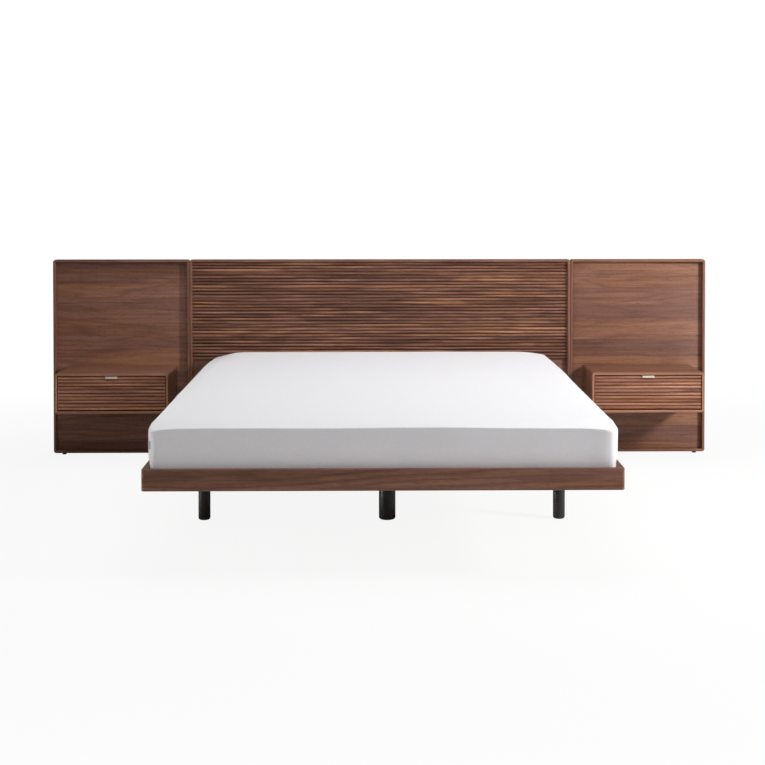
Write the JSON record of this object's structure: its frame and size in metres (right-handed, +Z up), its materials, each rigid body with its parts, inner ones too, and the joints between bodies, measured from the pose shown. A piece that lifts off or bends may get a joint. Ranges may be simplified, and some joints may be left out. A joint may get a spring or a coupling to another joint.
{
  "type": "platform bed with headboard drawers",
  "caption": "Low walnut platform bed with a wide framed and reeded headboard, hung bedside drawer cases, slatted base on round legs and a mattress.",
  "frame": {"origin": "on the floor, under the middle of the whole bed with its headboard", "axes": "+X across the bed to the right seen from the foot end, +Y from the foot end to the headboard, +Z up"},
  "size_m": [3.117, 2.14, 0.932],
  "materials": {
    "walnut": "satin walnut veneer",
    "walnut_reeds": "satin walnut reeding",
    "timber": "plain sanded softwood and birch",
    "black_leg": "satin black",
    "champagne_metal": "brushed champagne",
    "zinc_steel": "zinc plated",
    "glide": "matte",
    "mattress_cover": "smooth matte knit"
  },
  "bodies": {
    "bed": {"centre_edge_frame": "walnut", "centre_panel": "walnut", "centre_reeding": "walnut_reeds", "left_edge_frame": "walnut", "left_panel": "walnut", "right_edge_frame": "walnut", "right_panel": "walnut", "left_panel_foot": "glide", "centre_panel_foot": "glide", "right_panel_foot": "glide", "foot_rail": "walnut", "head_rail": "walnut", "side_rail_left": "walnut", "side_rail_right": "walnut", "slat_ledge_left": "timber", "slat_ledge_right": "timber", "centre_beam": "timber", "cross_beam_front": "timber", "cross_beam_rear": "timber", "slat_01": "timber", "slat_02": "timber", "slat_03": "timber", "slat_04": "timber", "slat_05": "timber", "slat_06": "timber", "slat_07": "timber", "slat_08": "timber", "slat_09": "timber", "slat_10": "timber", "leg_front_left": "black_leg", "leg_front_centre": "black_leg", "leg_front_right": "black_leg", "leg_rear_left": "black_leg", "leg_rear_centre": "black_leg", "leg_rear_right": "black_leg", "left_case_shell": "walnut", "left_case_back": "walnut", "right_case_shell": "walnut", "right_case_back": "walnut", "left_runner_fixed_west": "zinc_steel", "left_runner_fixed_east": "zinc_steel", "right_runner_fixed_west": "zinc_steel", "right_runner_fixed_east": "zinc_steel"},
    "left_drawer": {"left_drawer_front": "walnut_reeds", "left_drawer_box": "timber", "left_drawer_bottom": "timber", "left_pull": "champagne_metal", "left_runner_drawer_west": "zinc_steel", "left_runner_drawer_east": "zinc_steel"},
    "left_middle_runners": {"left_runner_middle_west": "zinc_steel", "left_runner_middle_east": "zinc_steel"},
    "right_drawer": {"right_drawer_front": "walnut_reeds", "right_drawer_box": "timber", "right_drawer_bottom": "timber", "right_pull": "champagne_metal", "right_runner_drawer_west": "zinc_steel", "right_runner_drawer_east": "zinc_steel"},
    "right_middle_runners": {"right_runner_middle_west": "zinc_steel", "right_runner_middle_east": "zinc_steel"},
    "mattress_body": {"mattress": "mattress_cover"}
  },
  "joints": [
    {"name": "left_drawer_slide", "type": "slide", "parent": "bed", "child": "left_drawer", "axis": [0, -1, 0], "range_m": [0, 0.22]},
    {"name": "left_middle_runner_slide", "type": "slide", "parent": "bed", "child": "left_middle_runners", "axis": [0, -1, 0], "range_m": [0, 0.11]},
    {"name": "right_drawer_slide", "type": "slide", "parent": "bed", "child": "right_drawer", "axis": [0, -1, 0], "range_m": [0, 0.22]},
    {"name": "right_middle_runner_slide", "type": "slide", "parent": "bed", "child": "right_middle_runners", "axis": [0, -1, 0], "range_m": [0, 0.11]},
    {"name": "mattress_lift", "type": "slide", "parent": "bed", "child": "mattress_body", "axis": [0, 0, 1], "range_m": [0, 0.3]}
  ],
  "couplings": [
    {"joint": "left_middle_runner_slide", "follows": "left_drawer_slide", "ratio": 0.5},
    {"joint": "right_middle_runner_slide", "follows": "right_drawer_slide", "ratio": 0.5}
  ]
}
